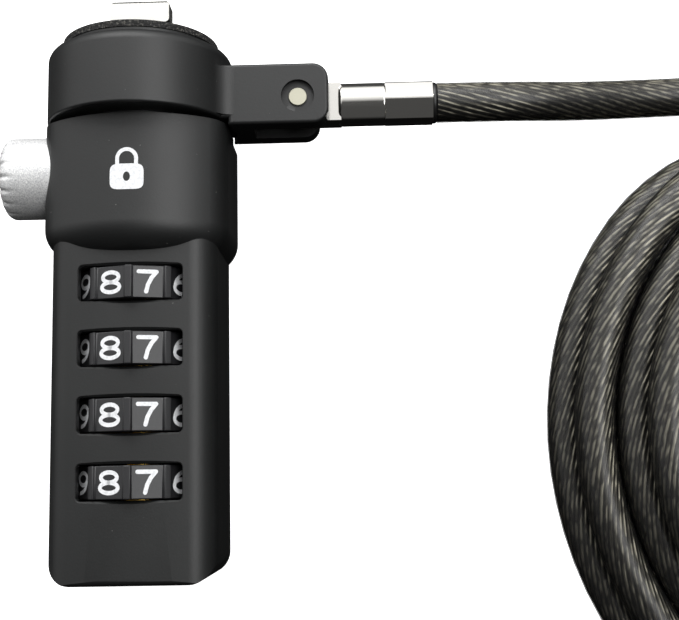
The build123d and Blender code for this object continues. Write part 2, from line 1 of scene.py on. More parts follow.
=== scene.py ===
"""Laptop cable lock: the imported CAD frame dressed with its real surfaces, its cable and its printed numbers.

Everything is in metres in the CAD's frame: +Y towards the T-bar, +Z towards the dial windows, floor below.
"""
import math

import bpy
import bmesh
import numpy as np
from mathutils import Matrix, Vector


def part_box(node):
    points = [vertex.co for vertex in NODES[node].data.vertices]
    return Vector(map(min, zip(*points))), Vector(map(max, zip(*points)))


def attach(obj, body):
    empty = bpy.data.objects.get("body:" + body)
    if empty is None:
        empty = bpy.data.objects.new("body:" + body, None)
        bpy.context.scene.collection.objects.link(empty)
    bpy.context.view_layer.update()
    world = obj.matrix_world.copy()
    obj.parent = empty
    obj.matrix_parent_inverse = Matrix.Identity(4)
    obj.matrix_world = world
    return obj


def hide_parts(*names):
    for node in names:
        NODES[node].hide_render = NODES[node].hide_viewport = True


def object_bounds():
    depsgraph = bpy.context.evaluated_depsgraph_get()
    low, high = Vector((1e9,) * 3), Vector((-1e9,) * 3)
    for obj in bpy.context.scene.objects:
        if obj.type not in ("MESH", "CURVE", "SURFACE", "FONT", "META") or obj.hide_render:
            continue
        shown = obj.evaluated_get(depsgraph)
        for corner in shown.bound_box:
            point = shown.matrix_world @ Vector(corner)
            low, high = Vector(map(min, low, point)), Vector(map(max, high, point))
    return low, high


bl_info = {
    "name": "Laptop Cable Lock",
    "version": (1, 0, 0),
    "blender": (4, 5, 0),
    "location": "View3D > Sidebar > Cable Lock",
    "description": "Builds a four-dial laptop cable lock with its coated steel cable",
    "category": "Object",
}

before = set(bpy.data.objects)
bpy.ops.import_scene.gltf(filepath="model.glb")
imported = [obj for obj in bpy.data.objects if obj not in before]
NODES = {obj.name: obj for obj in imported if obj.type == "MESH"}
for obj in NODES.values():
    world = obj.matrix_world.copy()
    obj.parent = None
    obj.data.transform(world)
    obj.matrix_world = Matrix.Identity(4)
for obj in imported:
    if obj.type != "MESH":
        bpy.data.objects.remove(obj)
CAD_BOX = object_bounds()

MM = 0.001
FLOOR = CAD_BOX[0][2]
DIALS = 4
DIAL_FACES = 10
FACE_STEP = math.radians(360 / DIAL_FACES)
DIAL_CORNER = 6.55 * MM                # from a dial's axis to the corners between its number faces
TOP_NUMBER = 7                         # the digit on the first face right of the window's middle
WELD = 0.002 * MM                      # points nearer than this are one point
FLAT_WITHIN = math.radians(0.6)        # faces that meet at less than this are one flat face
RING_SPACING = 1.8 * MM                # from one ring of the strand to the next

# the cable's route: the first run from the terminal, the last run to the pressed sleeve, and the eye, in mm
LEAD_ROUTE = [
    (32.6, -7.2, 0.0), (40.5, -7.2, 0.0), (48.5, -6.5, -2.9), (57.0, -5.4, -5.9), (65.5, -4.9, -6.8),
    (74.0, -6.4, -7.6)]
TAIL_ROUTE = [
    (80.0, -16.6, 1.2), (86.6, -17.3, 3.2), (92.4, -20.2, 4.4), (96.6, -25.4, 4.75), (98.0, -31.6, 4.75),
    (98.0, -37.0, 4.75)]
EYE_ROUTE = [
    (96.6, -42.0, 4.75), (95.75, -46.5, 4.75), (95.75, -50.5, 4.75), (91.2, -57.0, 4.75), (88.5, -63.0, 4.75),
    (88.5, -69.5, 4.75), (90.6, -74.4, 4.75), (95.0, -75.6, 4.75), (101.0, -75.6, 4.75), (105.4, -74.4, 4.75),
    (107.5, -69.5, 4.75), (107.5, -63.0, 4.75), (104.8, -57.0, 4.75), (100.25, -50.5, 4.75),
    (100.25, -45.0, 4.75), (100.25, -39.5, 4.75)]
COIL_MIDDLE = (78.3, -43.5)
COIL_HALF = (31.8, 36.3)               # half widths of the outermost turn's centre line
TURN_POINTS = 14                       # control points in each turn
LAYER_1, LAYER_2, LAYER_3 = -7.83, -3.93, -0.13
# (turns from the top, distance inwards from the outermost turn, height of the centre line), distances in mm
COIL_KEYS = [
    (0.03, 0.0, LAYER_1), (0.88, 0.0, LAYER_1), (1.0, 4.7, LAYER_1), (1.88, 4.7, LAYER_1),
    (2.0, 9.3, LAYER_1), (2.88, 9.3, LAYER_1), (3.0, 13.9, LAYER_1), (3.88, 13.9, LAYER_1),
    (4.0, 18.4, LAYER_1), (4.86, 18.4, LAYER_1), (5.12, 16.1, LAYER_2), (6.0, 16.1, LAYER_2),
    (6.16, 11.6, LAYER_2), (7.0, 11.6, LAYER_2), (7.16, 7.0, LAYER_2), (8.0, 7.0, LAYER_2),
    (8.16, 2.4, LAYER_2), (8.93, 2.4, LAYER_2), (9.03, 4.2, LAYER_2 + 2.6), (9.12, 7.6, LAYER_2 + 4.7),
    (9.22, 11.4, LAYER_2 + 4.7), (9.34, 14.0, LAYER_3), (9.93, 14.0, LAYER_3), (10.1, 9.4, LAYER_3),
    (10.97, 9.4, LAYER_3)]


# ---- colours and nodes --------------------------------------------------------------------------------
def linear(hex_colour):
    """An sRGB hex colour as linear red, green, blue and a full alpha."""
    text = hex_colour.lstrip("#")
    srgb = np.array([int(text[i:i + 2], 16) for i in (0, 2, 4)]) / 255
    values = np.where(srgb <= 0.04045, srgb / 12.92, ((srgb + 0.055) / 1.055) ** 2.4)
    return (*values.tolist(), 1.0)


def add(tree, kind, settings=None, **links):
    """Adds one node: attributes from settings, inputs from links by name or, as s0, s1 …, by number."""
    node = tree.nodes.new(kind)
    for key, value in (settings or {}).items():
        setattr(node, key, value)
    for key, value in links.items():
        name = int(key[1:]) if key[0] == "s" and key[1:].isdigit() else key.replace("_", " ")
        socket = node.inputs[name]
        if isinstance(value, bpy.types.NodeSocket):
            tree.links.new(value, socket)
        else:
            socket.default_value = value
    return node


def new_material(name, **values):
    """A material with its Principled shader joined to the output; values are those the same all over."""
    material = bpy.data.materials.new(name)
    material.use_nodes = True
    tree = material.node_tree
    tree.nodes.clear()
    shader = add(tree, "ShaderNodeBsdfPrincipled", **values)
    add(tree, "ShaderNodeOutputMaterial", Surface=shader.outputs[0])
    return material, tree, shader


def soft_touch_paint(dark, pale):
    """Soft-touch polyurethane paint, sprayed on zinc: matt, with fine even orange peel and a little dust."""
    material, tree, shader = new_material("soft_touch_paint", IOR=1.5)
    place = add(tree, "ShaderNodeTexCoord").outputs["Object"]
    # the tone drifts a little over 9 mm, as a sprayed coat does
    cloud = add(tree, "ShaderNodeTexNoise", Vector=place, Scale=1 / (9 * MM), Detail=3.0)
    drift = add(tree, "ShaderNodeMapRange", Value=cloud.outputs[0], From_Min=0.35, From_Max=0.65)
    base = add(tree, "ShaderNodeMix", {"data_type": "RGBA"}, s0=drift.outputs[0], s6=dark, s7=pale)
    # grey specks of dust from a 0.42 mm pattern, of which only the highest spots show
    specks = add(tree, "ShaderNodeTexNoise", Vector=place, Scale=1 / (0.42 * MM), Detail=1.0)
    mask = add(tree, "ShaderNodeMapRange", Value=specks.outputs[0], From_Min=0.80, From_Max=0.83)
    colour = add(tree, "ShaderNodeMix", {"data_type": "RGBA"}, s0=mask.outputs[0], s6=base.outputs[2],
                 s7=linear("#5a5a58"))
    tree.links.new(colour.outputs[2], shader.inputs["Base Color"])
    # orange peel 0.22 mm across
    grain = add(tree, "ShaderNodeTexNoise", Vector=place, Scale=1 / (0.22 * MM), Detail=2.0)
    rough = add(tree, "ShaderNodeMapRange", Value=grain.outputs[0], To_Min=0.42, To_Max=0.52)
    tree.links.new(rough.outputs[0], shader.inputs["Roughness"])
    bump = add(tree, "ShaderNodeBump", Height=grain.outputs[0], Strength=0.35, Distance=0.02 * MM)
    tree.links.new(bump.outputs[0], shader.inputs["Normal"])
    return material


def sandblasted_nickel():
    """Matt nickel plate on a sand-blasted button: a silver grey with small pits that sparkle, with painted
    shade in the pits and painted sparkle on the high spots.

    It is set less metallic than solid nickel, which keeps the side that faces away from the lights as pale as
    the real button's.
    """
    material, tree, shader = new_material("sandblasted_nickel", Metallic=0.4)
    place = add(tree, "ShaderNodeTexCoord").outputs["Object"]
    # pits 0.16 mm across, a little coarser than real blasting leaves, so that they show
    pits = add(tree, "ShaderNodeTexNoise", Vector=place, Scale=1 / (0.16 * MM), Detail=3.0, Roughness=0.65)
    # painted shade: the colour is darker in the pits; painted sparkle: it is paler on the high spots between
    # them
    pit_shade_and_sparkle = add(tree, "ShaderNodeMapRange", Value=pits.outputs[0], From_Min=0.3, From_Max=0.72)
    colour = add(tree, "ShaderNodeMix", {"data_type": "RGBA"}, s0=pit_shade_and_sparkle.outputs[0], s6=linear("#b4b5b8"),
                 s7=linear("#f4f4f2"))
    tree.links.new(colour.outputs[2], shader.inputs["Base Color"])
    rough = add(tree, "ShaderNodeMapRange", Value=pits.outputs[0], To_Min=0.42, To_Max=0.62)
    tree.links.new(rough.outputs[0], shader.inputs["Roughness"])
    bump = add(tree, "ShaderNodeBump", Height=pits.outputs[0], Strength=0.8, Distance=0.05 * MM)
    tree.links.new(bump.outputs[0], shader.inputs["Normal"])
    return material


def polished_metal(name, colour, roughness, scratch=0.04):
    """Plated or drawn metal: smooth, with faint long scratches that spread its highlights a little."""
    material, tree, shader = new_material(name, Metallic=1.0, Base_Color=linear(colour))
    place = add(tree, "ShaderNodeTexCoord").outputs["Object"]
    # scratches 3 mm long and 0.2 mm apart
    stretched = add(tree, "ShaderNodeMapping", Vector=place,
                    Scale=(1 / (3 * MM), 1 / (0.2 * MM), 1 / (0.2 * MM)))
    lines = add(tree, "ShaderNodeTexNoise", Vector=stretched.outputs[0], Scale=1.0, Detail=2.0)
    rough = add(tree, "ShaderNodeMapRange", Value=lines.outputs[0], To_Min=roughness,
                To_Max=roughness + 2 * scratch)
    tree.links.new(rough.outputs[0], shader.inputs["Roughness"])
    bump = add(tree, "ShaderNodeBump", Height=lines.outputs[0], Strength=0.15, Distance=0.01 * MM)
    tree.links.new(bump.outputs[0], shader.inputs["Normal"])
    return material


def moulded_black(name, colour, roughness):
    """Black ABS or PVC, moulded in a lightly etched tool: a soft sheen with a fine grain."""
    material, tree, shader = new_material(name, IOR=1.54, Base_Color=colour)
    place = add(tree, "ShaderNodeTexCoord").outputs["Object"]
    # the tool's etching is 0.15 mm across
    grain = add(tree, "ShaderNodeTexNoise", Vector=place, Scale=1 / (0.15 * MM), Detail=2.0)
    rough = add(tree, "ShaderNodeMapRange", Value=grain.outputs[0], To_Min=roughness - 0.06,
                To_Max=roughness + 0.08)
    tree.links.new(rough.outputs[0], shader.inputs["Roughness"])
    bump = add(tree, "ShaderNodeBump", Height=grain.outputs[0], Strength=0.25, Distance=0.015 * MM)
    tree.links.new(bump.outputs[0], shader.inputs["Normal"])
    return material


def number_ink():
    """White pad-printing ink: opaque, slightly uneven where it was pressed on."""
    material, tree, shader = new_material("number_ink", Roughness=0.5, IOR=1.5)
    place = add(tree, "ShaderNodeTexCoord").outputs["Object"]
    # the film is thicker and thinner in spots 0.3 mm across
    cover = add(tree, "ShaderNodeTexNoise", Vector=place, Scale=1 / (0.3 * MM), Detail=2.0)
    film = add(tree, "ShaderNodeMapRange", Value=cover.outputs[0], From_Min=0.3, From_Max=0.6)
    colour = add(tree, "ShaderNodeMix", {"data_type": "RGBA"}, s0=film.outputs[0], s6=linear("#ccced0"),
                 s7=linear("#e2e3e5"))
    tree.links.new(colour.outputs[2], shader.inputs["Base Color"])
    return material


def speckled_foam():
    """Closed-cell rubber foam of the pad: dark, with pale crumbs and open cells at its cut edge."""
    material, tree, shader = new_material("speckled_foam", Roughness=0.9, IOR=1.5)
    place = add(tree, "ShaderNodeTexCoord").outputs["Object"]
    # crumbs 0.22 mm across, cells 0.35 mm across
    crumbs = add(tree, "ShaderNodeTexNoise", Vector=place, Scale=1 / (0.22 * MM), Detail=2.0)
    share = add(tree, "ShaderNodeMapRange", Value=crumbs.outputs[0], From_Min=0.55, From_Max=0.75)
    colour = add(tree, "ShaderNodeMix", {"data_type": "RGBA"}, s0=share.outputs[0], s6=linear("#101010"),
                 s7=linear("#64625c"))
    tree.links.new(colour.outputs[2], shader.inputs["Base Color"])
    cells = add(tree, "ShaderNodeTexVoronoi", Vector=place, Scale=1 / (0.35 * MM))
    bump = add(tree, "ShaderNodeBump", Height=cells.outputs[0], Strength=1.0, Distance=0.12 * MM)
    tree.links.new(bump.outputs[0], shader.inputs["Normal"])
    return material


def smoke_jacket(tint):
    """Clear PVC tinted smoke grey, extruded: glossy, and the strand shows through it."""
    material, tree, shader = new_material("smoke_pvc_jacket", IOR=1.6, Base_Color=tint, Alpha=0.58)
    place = add(tree, "ShaderNodeTexCoord").outputs["Object"]
    # the drawn skin's gloss wanders over 2.5 mm
    wave = add(tree, "ShaderNodeTexNoise", Vector=place, Scale=1 / (2.5 * MM), Detail=2.0)
    rough = add(tree, "ShaderNodeMapRange", Value=wave.outputs[0], To_Min=0.30, To_Max=0.40)
    tree.links.new(rough.outputs[0], shader.inputs["Roughness"])
    return material


def galvanised_strand():
    """Galvanised wires under a slightly yellowed coating, with painted highlights: pale streaks painted on the
    wires, and painted shade in the dark grooves between them.

    The UV map counts millimetres along the wires and wires round the strand. Each wire has painted highlights
    in streaks about 1.5 mm long. The attribute crest is 1 on the top of a wire and 0 in the groove beside it.
    """
    material, tree, shader = new_material("galvanised_strand", Metallic=1.0, Roughness=0.34)
    crest = add(tree, "ShaderNodeAttribute", {"attribute_name": "crest"}).outputs["Fac"]
    along = add(tree, "ShaderNodeUVMap").outputs[0]
    # painted highlights: pale streaks about 1.5 mm long along each wire, where the noise is high
    place = add(tree, "ShaderNodeMapping", Vector=along, Scale=(1 / 1.5, 1.0, 1.0))
    highlight_patches = add(tree, "ShaderNodeTexNoise", {"noise_dimensions": "2D"}, Vector=place.outputs[0], Scale=1.0,
                  Detail=1.0)
    painted_highlight_streak = add(tree, "ShaderNodeMapRange", Value=highlight_patches.outputs[0], From_Min=0.40, From_Max=0.66,
                 To_Min=0.15)
    # painted shade: the grooves between the wires stay dark, and the painted highlights show only on the
    # crests
    crest_highlight_groove_shade = add(tree, "ShaderNodeMapRange", Value=crest, From_Min=0.45, From_Max=1.0)
    painted_highlight_dash = add(tree, "ShaderNodeMath", {"operation": "MULTIPLY"}, s0=painted_highlight_streak.outputs[0], s1=crest_highlight_groove_shade.outputs[0])
    painted_glint = add(tree, "ShaderNodeMapRange", Value=painted_highlight_dash.outputs[0], From_Min=0.05, From_Max=0.85)
    # 45423b is the dark wire and the painted shade in the grooves, #e0dac4 the painted highlight
    colour = add(tree, "ShaderNodeMix", {"data_type": "RGBA"}, s0=painted_glint.outputs[0], s6=linear("#45423b"),
                 s7=linear("#e0dac4"))
    tree.links.new(colour.outputs[2], shader.inputs["Base Color"])
    return material


# ---- making meshes ------------------------------------------------------------------------------------
def grid_quads(rows, columns, wrap_rows=False, wrap_columns=True):
    """Corner numbers of the quads between neighbouring points of a rows x columns grid, as one array."""
    row = np.arange(rows if wrap_rows else rows - 1)[:, None]
    column = np.arange(columns if wrap_columns else columns - 1)[None, :]
    next_row, next_column = (row + 1) % rows, (column + 1) % columns
    corners = (row * columns + column, row * columns + next_column,
               next_row * columns + next_column, next_row * columns + column)
    return np.stack(np.broadcast_arrays(*corners), axis=-1).reshape(-1, 4)


def mesh_piece(name, points, quads, material, body):
    """A smooth mesh piece from arrays of points and quads, with its material, riding on its body."""
    mesh = bpy.data.meshes.new(name)
    mesh.from_pydata(np.asarray(points).reshape(-1, 3).tolist(), [], np.asarray(quads).tolist())
    mesh.polygons.foreach_set("use_smooth", np.ones(len(mesh.polygons), dtype=bool))
    mesh.update()
    return finish_piece(bpy.data.objects.new(name, mesh), material, body)


def finish_piece(obj, material, body):
    """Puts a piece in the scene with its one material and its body."""
    if obj.name not in bpy.context.scene.collection.all_objects:
        bpy.context.scene.collection.objects.link(obj)
    obj.data.materials.clear()
    obj.data.materials.append(material)
    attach(obj, body)
    return obj


def dressed_copy(node, name, material, body, bevel=0.0, sharp=32.0):
    """A merged copy of a CAD node: its small flat faces joined, its edges rounded and its curves smooth."""
    mesh = NODES[node].data.copy()
    mesh.name = name
    work = bmesh.new()
    work.from_mesh(mesh)
    bmesh.ops.remove_doubles(work, verts=work.verts, dist=WELD)
    bmesh.ops.dissolve_limit(work, angle_limit=FLAT_WITHIN, verts=work.verts, edges=work.edges)
    work.to_mesh(mesh)
    work.free()
    mesh.polygons.foreach_set("use_smooth", np.ones(len(mesh.polygons), dtype=bool))
    mesh.set_sharp_from_angle(angle=math.radians(sharp))
    obj = bpy.data.objects.new(name, mesh)
    if bevel:
        edge = obj.modifiers.new("worn_edges", "BEVEL")
        edge.width = bevel
        edge.segments = 2
        edge.limit_method = "ANGLE"
        edge.angle_limit = math.radians(sharp)
        edge.use_clamp_overlap = True
    evened = obj.modifiers.new("even_shading", "WEIGHTED_NORMAL")
    evened.keep_sharp = True
    finish_piece(obj, material, body)
    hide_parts(node)
    return obj


def paint_node(node, material):
    """A CAD node that keeps its own mesh gets its material."""
    materials = NODES[node].data.materials
    materials.clear()
    materials.append(material)


# ---- settings -----------------------------------------------------------------------------------------
class CableSettings(bpy.types.PropertyGroup):
    """Sizes and tint of the coated cable."""
    diameter: bpy.props.FloatProperty(
        name="Diameter", description="Outside diameter of the jacket", default=4.4 * MM, unit="LENGTH")
    length: bpy.props.FloatProperty(
        name="Length", description="Length from the terminal to the cable's end", default=1.8, unit="LENGTH")
    core: bpy.props.FloatProperty(
        name="Core", description="Diameter of the strand inside the jacket", default=4.2 * MM, unit="LENGTH")
    lay: bpy.props.FloatProperty(
        name="Lay", description="Length in which a wire goes once round", default=40 * MM, unit="LENGTH")
    wires: bpy.props.IntProperty(
        name="Wires", description="Wires round the outside of the strand", default=22)
    tint: bpy.props.FloatVectorProperty(
        name="Tint", description="Colour of the clear jacket", subtype="COLOR", size=4, min=0, max=1,
        default=linear("#161616"))


class LockSettings(bpy.types.PropertyGroup):
    """Sizes of the lock's printed numbers, button and edges, and the colours of its paint and dials."""
    number_high: bpy.props.FloatProperty(
        name="Number height", description="Height of the dials' numbers", default=2.5 * MM, unit="LENGTH")
    number_wide: bpy.props.FloatProperty(
        name="Number width", description="Width of a number", default=2.6 * MM, unit="LENGTH")
    stroke: bpy.props.FloatProperty(
        name="Number stroke", description="Width of a number's stroke", default=0.43 * MM, unit="LENGTH")
    edge: bpy.props.FloatProperty(
        name="Edge", description="Width of the painted edges' rounding", default=0.18 * MM, unit="LENGTH")
    notches: bpy.props.IntProperty(
        name="Notches", description="Grip notches round the button's end", default=18)
    paint_dark: bpy.props.FloatVectorProperty(
        name="Paint", description="Colour of the paint at its darkest", subtype="COLOR", size=4, min=0, max=1,
        default=linear("#101111"))
    paint_pale: bpy.props.FloatVectorProperty(
        name="Pale paint", description="Colour of the paint at its palest", subtype="COLOR", size=4, min=0,
        max=1, default=linear("#151616"))
    dial: bpy.props.FloatVectorProperty(
        name="Dial", description="Colour of the dials' plastic", subtype="COLOR", size=4, min=0, max=1,
        default=linear("#1b1b1d"))


class StageSettings(bpy.types.PropertyGroup):
    """The floor and the lights."""
    floor_half: bpy.props.FloatProperty(
        name="Floor", description="Half of the floor's width", default=8.0, unit="LENGTH")
    softbox_power: bpy.props.FloatProperty(
        name="Softbox", description="Power of the large soft light", default=1.6, unit="POWER")
    sky: bpy.props.FloatProperty(
        name="Room", description="Brightness of the room's pale walls", default=1.0)
    floor_glow: bpy.props.FloatProperty(
        name="Floor glow", description="Light that the lit table gives by itself", default=1.0)
    overhead_power: bpy.props.FloatProperty(
        name="Overhead", description="Power of the soft light above the coil", default=1.3, unit="POWER")


# ---- operators ----------------------------------------------------------------------------------------
class LOCK_OT_stage(bpy.types.Operator):
    """Puts the camera, the pale floor and the soft studio light in place"""
    bl_idname = "cable_lock.stage"
    bl_label = "Camera, floor and light"

    def execute(self, context):
        settings = context.scene.lock_stage
        self.add_camera(context)
        self.add_floor(context, settings)
        self.add_room(context, settings)
        self.add_lights(context, settings)
        return {"FINISHED"}

    def add_camera(self, context):
        """A level camera nearly above the lock, turned about its line of sight by a small roll."""
        place = Vector((24.199, -47.93, 125.401)) * MM
        target = Vector((21.49, -29.95, 0.0)) * MM
        roll = math.radians(-1.057)
        forward = (target - place).normalized()
        level_right = forward.cross(Vector((0, 1, 0))).normalized()
        level_up = level_right.cross(forward)
        right = math.cos(roll) * level_right + math.sin(roll) * level_up
        up = math.cos(roll) * level_up - math.sin(roll) * level_right
        data = bpy.data.cameras.new("camera")
        data.sensor_width = 36.0
        data.lens = 62.56
        data.clip_start = 0.005
        camera = bpy.data.objects.new("camera", data)
        camera.matrix_world = Matrix((
            (right.x, up.x, -forward.x, place.x), (right.y, up.y, -forward.y, place.y),
            (right.z, up.z, -forward.z, place.z), (0, 0, 0, 1)))
        context.scene.collection.objects.link(camera)
        context.scene.camera = camera

    def add_floor(self, context, settings):
        """A square of white card that glows like a lit table."""
        half = settings.floor_half
        corners = [(-half, -half, FLOOR), (half, -half, FLOOR), (half, half, FLOOR), (-half, half, FLOOR)]
        mesh = bpy.data.meshes.new("floor")
        mesh.from_pydata(corners, [], [(0, 1, 2, 3)])
        card = new_material(
            "white_card", Base_Color=linear("#f4f4f3"), Roughness=0.9, Emission_Color=(1.0, 1.0, 1.0, 1.0),
            Emission_Strength=settings.floor_glow)[0]
        mesh.materials.append(card)
        floor = bpy.data.objects.new("floor", mesh)
        context.scene.collection.objects.link(floor)
        # the lit table is white to the eye but gives the lock no light, so that its undersides stay dark
        floor.visible_glossy = False
        floor.visible_diffuse = False

    def add_room(self, context, settings):
        """The room is pale towards +Y, falls off towards -Y and is dark below the horizon."""
        world = bpy.data.worlds.new("studio_room")
        world.use_nodes = True
        tree = world.node_tree
        tree.nodes.clear()
        direction = add(tree, "ShaderNodeTexCoord").outputs["Generated"]
        split = add(tree, "ShaderNodeSeparateXYZ", Vector=direction)
        towards = add(tree, "ShaderNodeVectorMath", {"operation": "DOT_PRODUCT"}, s0=direction,
                      s1=(-0.26, 0.97, 0))
        fall = add(tree, "ShaderNodeMapRange", Value=towards.outputs["Value"], From_Min=0.0, From_Max=0.4,
                   To_Min=0.08, To_Max=1.45)
        above = add(tree, "ShaderNodeMapRange", Value=split.outputs["Z"], From_Min=-0.15, From_Max=0.1,
                    To_Min=0.05, To_Max=1.0)
        room = add(tree, "ShaderNodeMath", {"operation": "MULTIPLY"}, s0=fall.outputs[0], s1=above.outputs[0])
        level = add(tree, "ShaderNodeMath", {"operation": "MULTIPLY"}, s0=room.outputs[0], s1=settings.sky)
        walls = add(tree, "ShaderNodeBackground", Color=(1.0, 1.0, 1.0, 1.0), Strength=level.outputs[0])
        add(tree, "ShaderNodeOutputWorld", Surface=walls.outputs[0])
        context.scene.world = world
        context.scene.view_settings.view_transform = "Standard"

    def add_lights(self, context, settings):
        """Two soft rectangular lights: a large one beyond the T-bar and one high above the coil."""
        for name, place, aim, wide, high, power in (
                ("softbox", (-0.04, 0.34, 0.27), (0.02, -0.02, 0.0), 0.45, 0.24, settings.softbox_power),
                ("overhead", (0.25, 0.02, 0.42), (0.07, -0.04, 0.0), 0.26, 0.34, settings.overhead_power)):
            data = bpy.data.lights.new(name, "AREA")
            data.shape = "RECTANGLE"
            data.size = wide
            data.size_y = high
            data.energy = power
            light = bpy.data.objects.new(name, data)
            back = (Vector(place) - Vector(aim)).normalized()
            side = Vector((0, 1, 0)).cross(back).normalized()
            upward = back.cross(side)
            light.matrix_world = Matrix((
                (side.x, upward.x, back.x, place[0]), (side.y, upward.y, back.y, place[1]),
                (side.z, upward.z, back.z, place[2]), (0, 0, 0, 1)))
            context.scene.collection.objects.link(light)


def cable_route():
    """Control points of the whole cable in metres: lead, flat oval turns, run to the sleeve, and the eye.

    A turn is an ellipse gone round clockwise from its top. Its half widths shrink by the distance inwards.
    The control points stand outside it by 1 / cos(half a step), so that the curve itself runs on it.
    """
    keys = np.array(COIL_KEYS)
    count = round((keys[-1, 0] - keys[0, 0]) * TURN_POINTS)
    turns = np.linspace(keys[0, 0], keys[-1, 0], count + 1)
    inwards = np.interp(turns, keys[:, 0], keys[:, 1])
    height = np.interp(turns, keys[:, 0], keys[:, 2])
    angle = math.pi / 2 - 2 * math.pi * turns
    outside = 1 / math.cos(math.pi / TURN_POINTS)
    across = COIL_MIDDLE[0] + outside * (COIL_HALF[0] - inwards) * np.cos(angle)
    along = COIL_MIDDLE[1] + outside * (COIL_HALF[1] - inwards) * np.sin(angle)
    coil = np.stack([across, along, height], axis=1)
    return np.concatenate([LEAD_ROUTE, coil, TAIL_ROUTE, EYE_ROUTE]) * MM


def route_line(points, name):
    """A NURBS curve object of one open spline of order 3 through the ends of its control points."""
    data = bpy.data.curves.new(name, "CURVE")
    data.dimensions = "3D"
    spline = data.splines.new("NURBS")
    spline.points.add(len(points) - 1)
    spline.points.foreach_set("co", np.column_stack([points, np.ones(len(points))]).ravel())
    spline.order_u = 3
    spline.use_endpoint_u = True
    data.resolution_u = 5
    return bpy.data.objects.new(name, data)


def even_points(line, spacing):
    """Points along a curve object's own line at an even spacing, and each point's distance from its start."""
    bare = bpy.data.meshes.new_from_object(line)
    points = np.empty(len(bare.vertices) * 3)
    bare.vertices.foreach_get("co", points)
    bpy.data.meshes.remove(bare)
    points = points.reshape(-1, 3)
    along = np.concatenate([[0], np.cumsum(np.linalg.norm(np.diff(points, axis=0), axis=1))])
    wanted = np.linspace(0, along[-1], round(along[-1] / spacing) + 1)
    return np.stack([np.interp(wanted, along, points[:, axis]) for axis in range(3)], axis=1), wanted


def across_path(points):
    """Side and up directions square to a path that never stands upright."""
    ahead = np.gradient(points, axis=0)
    ahead /= np.linalg.norm(ahead, axis=1)[:, None]
    side = np.cross(ahead, [0.0, 0.0, 1.0])
    side /= np.linalg.norm(side, axis=1)[:, None]
    return side, np.cross(side, ahead)


class LOCK_OT_cable(bpy.types.Operator):
    """Winds the coated cable from its terminal through the coil to the eye at its end"""
    bl_idname = "cable_lock.cable"
    bl_label = "Coated cable"

    def execute(self, context):
        settings = context.scene.lock_cable
        line = route_line(cable_route(), "cable_jacket")
        context.scene.collection.objects.link(line)
        points, along = even_points(line, RING_SPACING)
        strand = self.strand(points, along, settings)
        line.data.bevel_depth = settings.diameter / 2
        line.data.bevel_resolution = 5
        line.data.use_fill_caps = True
        finish_piece(line, smoke_jacket(tuple(settings.tint)), "cable")
        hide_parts("cable_lead", "cable_coil", "cable_tail", "cable_loop")
        paint_node("loop_sleeve", polished_metal("pressed_aluminium", "#c9cacb", 0.28))
        return {"FINISHED"}

    def strand(self, points, along, settings):
        """Steel core: at each step a ring of round lobes, one for each wire, turned once round in each lay.

        Within a lobe at angle a from its middle the radius is c cos a + sqrt(w^2 - (c sin a)^2), with w the
        wire's radius and c the radius on which the wires' middles lie.
        """
        outside = settings.core / 2
        half = math.pi / settings.wires
        wire = outside * math.sin(half) / (1 + math.sin(half))
        middle = outside - wire
        steps = 4
        in_lobe = (np.arange(steps) / steps - 0.5) * 2 * half
        under_root = wire ** 2 - (middle * np.sin(in_lobe)) ** 2
        radius = np.tile(middle * np.cos(in_lobe) + np.sqrt(np.maximum(under_root, 0)), settings.wires)
        angle = (2 * half * np.arange(settings.wires)[:, None] + in_lobe[None, :]).ravel()
        turned = angle[None, :] - (2 * math.pi * along / settings.lay)[:, None]
        side, up = across_path(points)
        ring = np.cos(turned)[..., None] * side[:, None, :] + np.sin(turned)[..., None] * up[:, None, :]
        surface = points[:, None, :] + radius[None, :, None] * ring
        rows, columns = surface.shape[:2]
        strand = mesh_piece(
            "cable_strand", surface, grid_quads(rows, columns), galvanised_strand(), "cable")
        # the strand's material reads crest to paint its highlights on the crests and its painted shade in the
        # grooves
        crest = (radius - radius.min()) / (radius.max() - radius.min())
        attribute = strand.data.attributes.new("crest", "FLOAT", "POINT")
        attribute.data.foreach_set("value", np.tile(crest, rows).astype(np.float32))
        self.map_round(strand, along, rows, columns, settings)
        return strand

    def map_round(self, strand, along, rows, columns, settings):
        """UV map: millimetres along the wires, and wires counted round the strand to the closing column."""
        row = np.arange(rows - 1)[:, None, None]
        column = np.arange(columns)[None, :, None]
        step_row, step_column = np.array([0, 0, 1, 1]), np.array([0, 1, 1, 0])
        distance = along[row + step_row] / MM
        turned = (column + step_column) / columns * settings.wires
        distance = np.broadcast_to(distance, np.broadcast_shapes(distance.shape, turned.shape))
        layer = strand.data.uv_layers.new(name="along_and_round")
        pair = np.stack([distance, np.broadcast_to(turned, distance.shape)], axis=-1)
        layer.data.foreach_set("uv", pair.ravel().astype(np.float32))


class LOCK_OT_terminal(bpy.types.Operator):
    """Dresses the crimped terminal, its boot and the rivet on which it swings"""
    bl_idname = "cable_lock.terminal"
    bl_label = "Terminal and rivet"

    def execute(self, context):
        chrome = polished_metal("polished_chrome", "#dedcd7", 0.09)
        dressed_copy("cable_terminal", "terminal", chrome, "cable", bevel=0.1 * MM)
        vinyl = moulded_black("black_pvc", linear("#141414"), 0.35)
        dressed_copy("terminal_boot", "boot", vinyl, "cable", bevel=0.08 * MM)
        dressed_copy("rivet", "hinge_rivet", polished_metal("nickel_rivet", "#aaa899", 0.45), "collar",
                     bevel=0.08 * MM)
        return {"FINISHED"}


